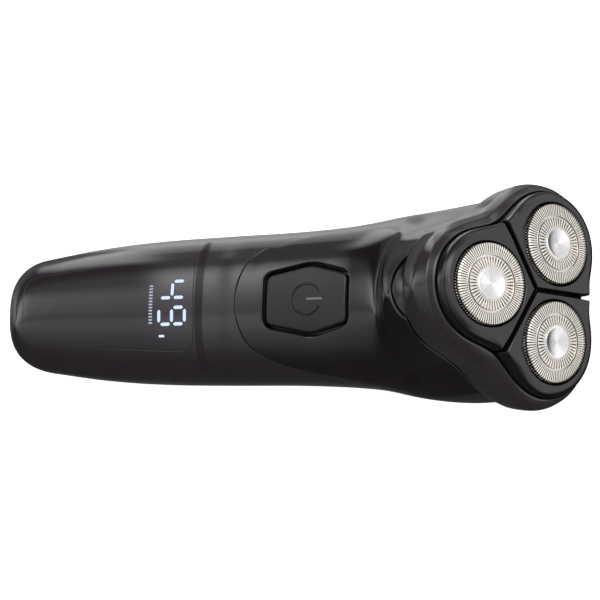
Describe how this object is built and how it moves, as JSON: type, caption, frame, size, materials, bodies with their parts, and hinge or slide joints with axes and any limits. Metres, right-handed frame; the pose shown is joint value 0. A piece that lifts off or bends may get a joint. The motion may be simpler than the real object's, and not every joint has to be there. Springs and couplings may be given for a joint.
{
  "type": "electric shaver",
  "caption": "Cordless rotary shaver with a tilted clover-shaped head, floating round cutters, a digital display and a polygonal power button on a smooth dark handle.",
  "frame": {"origin": "centre of the bounding box's bottom, with the shaver lying on the flat of its back", "axes": "+X along the handle towards the cutting head, +Z out of the front where the display and the button are, +Y to the left of someone who faces the front with the head up"},
  "size_m": [0.1798, 0.0634, 0.0648],
  "materials": {
    "shell": "glossy dark gunmetal",
    "satin": "satin near-black",
    "lens": "smoked, polished",
    "steel": "spun steel",
    "aluminium": "fine turned finish",
    "rubber": "matt",
    "nylon": "natural nylon",
    "board": "solder mask",
    "battery": "shrink sleeve",
    "dark": "moulded",
    "nickel": "nickel plated"
  },
  "bodies": {
    "handle": {"rear_shell": "shell", "front_shell": "shell", "display_window": "lens", "neck_cover": "shell", "button_membrane": "rubber", "tact_switch": "dark", "circuit_board": "board", "display_module": "dark", "battery_cell": "battery", "battery_tab_minus": "nickel", "battery_tab_plus": "nickel", "battery_saddle": "nylon", "charging_inlet": "dark", "inlet_pin_left": "nickel", "inlet_pin_right": "nickel", "motor_can": "steel", "motor_plate": "dark", "gear_cover": "satin", "head_seal": "rubber", "hinge_pin": "nickel", "gear_axle_front": "nickel", "gear_axle_left": "nickel", "gear_axle_right": "nickel"},
    "button": {"power_button": "satin"},
    "motor": {"motor_pinion": "nickel"},
    "head": {"head_housing": "shell", "retaining_frame": "dark"},
    "knob": {"lock_knob": "satin"},
    "pad_front": {"pad_front": "satin"},
    "guard_front": {"guard_front": "steel", "guard_cap_front": "aluminium"},
    "cutter_front": {"cutter_front": "steel"},
    "gear_front": {"drive_gear_front": "nylon", "spindle_spring_front": "nickel"},
    "spindle_front": {"drive_spindle_front": "nylon"},
    "pad_left": {"pad_left": "satin"},
    "guard_left": {"guard_left": "steel", "guard_cap_left": "aluminium"},
    "cutter_left": {"cutter_left": "steel"},
    "gear_left": {"drive_gear_left": "nylon", "spindle_spring_left": "nickel"},
    "spindle_left": {"drive_spindle_left": "nylon"},
    "pad_right": {"pad_right": "satin"},
    "guard_right": {"guard_right": "steel", "guard_cap_right": "aluminium"},
    "cutter_right": {"cutter_right": "steel"},
    "gear_right": {"drive_gear_right": "nylon", "spindle_spring_right": "nickel"},
    "spindle_right": {"drive_spindle_right": "nylon"}
  },
  "joints": [
    {"name": "power_button_press", "type": "slide", "parent": "handle", "child": "button", "axis": [0, 0, -1], "range_m": [0, 0.0007], "stiffness_N_per_m": 1500, "springref_m": -0.0005},
    {"name": "head_open", "type": "hinge", "parent": "handle", "child": "head", "pos_m": [0.07439, 0, 0.00904], "axis": [0, 1, 0], "range_deg": [0, 95]},
    {"name": "lock_knob_turn", "type": "hinge", "parent": "head", "child": "knob", "pos_m": [0.06973, 0, 0.03443], "axis": [0.848, 0, 0.5299], "range_deg": [0, 90]},
    {"name": "motor_spin", "type": "hinge", "parent": "handle", "child": "motor", "pos_m": [0.05667, 0, 0.02627], "axis": [0.848, 0, 0.5299], "continuous": true},
    {"name": "pad_tilt_front", "type": "hinge", "parent": "head", "child": "pad_front", "pos_m": [0.06813, 0, 0.0521], "axis": [0, -1, 0], "range_deg": [-2, 4], "stiffness_Nm_per_rad": 0.5},
    {"name": "guard_float_front", "type": "slide", "parent": "pad_front", "child": "guard_front", "axis": [-0.8028, 0, -0.5962], "range_m": [0, 0.0012], "stiffness_N_per_m": 1500, "springref_m": -0.0005},
    {"name": "cutter_spin_front", "type": "hinge", "parent": "guard_front", "child": "cutter_front", "pos_m": [0.07067, 0, 0.05369], "axis": [0.8028, 0, 0.5962], "continuous": true},
    {"name": "gear_spin_front", "type": "hinge", "parent": "handle", "child": "gear_front", "pos_m": [0.04828, 0, 0.0397], "axis": [0.848, 0, 0.5299], "continuous": true},
    {"name": "spindle_slide_front", "type": "slide", "parent": "gear_front", "child": "spindle_front", "axis": [-0.848, 0, -0.5299], "range_m": [0, 0.0012], "deforming": ["spindle_spring_front"]},
    {"name": "pad_tilt_left", "type": "hinge", "parent": "head", "child": "pad_left", "pos_m": [0.08071, 0.01371, 0.03196], "axis": [-0.4589, 0.5, 0.7344], "range_deg": [-2, 4], "stiffness_Nm_per_rad": 0.5},
    {"name": "guard_float_left", "type": "slide", "parent": "pad_left", "child": "guard_left", "axis": [-0.8666, -0.0695, -0.4942], "range_m": [0, 0.0012], "stiffness_N_per_m": 1500, "springref_m": -0.0005},
    {"name": "cutter_spin_left", "type": "hinge", "parent": "guard_left", "child": "cutter_left", "pos_m": [0.08325, 0.01371, 0.03355], "axis": [0.8666, 0.0695, 0.4942], "continuous": true},
    {"name": "gear_spin_left", "type": "hinge", "parent": "handle", "child": "gear_left", "pos_m": [0.06087, 0.01371, 0.01956], "axis": [0.848, 0, 0.5299], "continuous": true},
    {"name": "spindle_slide_left", "type": "slide", "parent": "gear_left", "child": "spindle_left", "axis": [-0.848, 0, -0.5299], "range_m": [0, 0.0012], "deforming": ["spindle_spring_left"]},
    {"name": "pad_tilt_right", "type": "hinge", "parent": "head", "child": "pad_right", "pos_m": [0.08071, -0.01371, 0.03196], "axis": [0.4589, 0.5, -0.7344], "range_deg": [-2, 4], "stiffness_Nm_per_rad": 0.5},
    {"name": "guard_float_right", "type": "slide", "parent": "pad_right", "child": "guard_right", "axis": [-0.8666, 0.0695, -0.4942], "range_m": [0, 0.0012], "stiffness_N_per_m": 1500, "springref_m": -0.0005},
    {"name": "cutter_spin_right", "type": "hinge", "parent": "guard_right", "child": "cutter_right", "pos_m": [0.08325, -0.01371, 0.03355], "axis": [0.8666, -0.0695, 0.4942], "continuous": true},
    {"name": "gear_spin_right", "type": "hinge", "parent": "handle", "child": "gear_right", "pos_m": [0.06087, -0.01371, 0.01956], "axis": [0.848, 0, 0.5299], "continuous": true},
    {"name": "spindle_slide_right", "type": "slide", "parent": "gear_right", "child": "spindle_right", "axis": [-0.848, 0, -0.5299], "range_m": [0, 0.0012], "deforming": ["spindle_spring_right"]}
  ],
  "couplings": [
    {"joint": "gear_spin_front", "follows": "motor_spin", "ratio": -0.5},
    {"joint": "cutter_spin_front", "follows": "motor_spin", "ratio": -0.5},
    {"joint": "spindle_slide_front", "follows": "guard_float_front", "ratio": 1},
    {"joint": "gear_spin_left", "follows": "motor_spin", "ratio": -0.5},
    {"joint": "cutter_spin_left", "follows": "motor_spin", "ratio": -0.5},
    {"joint": "spindle_slide_left", "follows": "guard_float_left", "ratio": 1},
    {"joint": "gear_spin_right", "follows": "motor_spin", "ratio": -0.5},
    {"joint": "cutter_spin_right", "follows": "motor_spin", "ratio": -0.5},
    {"joint": "spindle_slide_right", "follows": "guard_float_right", "ratio": 1}
  ]
}
